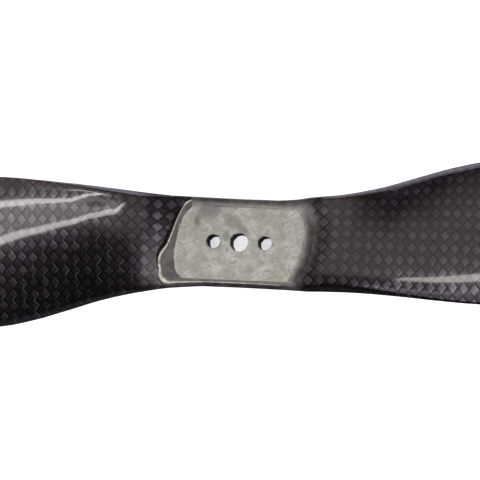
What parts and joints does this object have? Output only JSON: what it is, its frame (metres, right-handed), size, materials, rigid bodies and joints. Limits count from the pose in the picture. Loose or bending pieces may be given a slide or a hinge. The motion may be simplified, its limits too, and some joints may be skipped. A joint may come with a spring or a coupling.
{
  "type": "propeller",
  "caption": "Twisted carbon-fibre blades on a flat ground hub with a shaft bore and screw holes; pulls a multirotor or model upwards when its motor turns it.",
  "frame": {"origin": "centre of the shaft bore, on the hub's lower seating face", "axes": "+Z is the thrust direction, along the shaft away from the motor; +X runs along one blade; +Y is that blade's trailing side"},
  "size_m": [0.381, 0.046, 0.0163],
  "materials": {
    "woven_carbon_top": "3K plain-weave carbon cloth in clear glossy epoxy",
    "woven_carbon_bottom": "3K plain-weave carbon cloth in clear glossy epoxy",
    "ground_facing": "laminate ground flat, matte grey with sanding marks",
    "spar_tape": "unidirectional carbon tape, as laid",
    "hub_block": "pressed carbon plies in epoxy",
    "foam_core": "closed-cell structural foam",
    "roving": "carbon rovings in epoxy",
    "resin_filler": "filled epoxy",
    "resin_bead": "cured resin squeezed out at the seam"
  },
  "bodies": {
    "root": {"upper_skin": "woven_carbon_top", "lower_skin": "woven_carbon_bottom", "hub_top_facing": "ground_facing", "hub_bottom_facing": "ground_facing", "upper_spar_cap": "spar_tape", "lower_spar_cap": "spar_tape", "hub_block": "hub_block", "foam_core_left": "foam_core", "foam_core_right": "foam_core", "leading_edge_roving_left": "roving", "leading_edge_roving_right": "roving", "trailing_edge_filler_left": "resin_filler", "trailing_edge_filler_right": "resin_filler", "tip_filler_left": "resin_filler", "tip_filler_right": "resin_filler", "seam_bead": "resin_bead"}
  },
  "joints": []
}
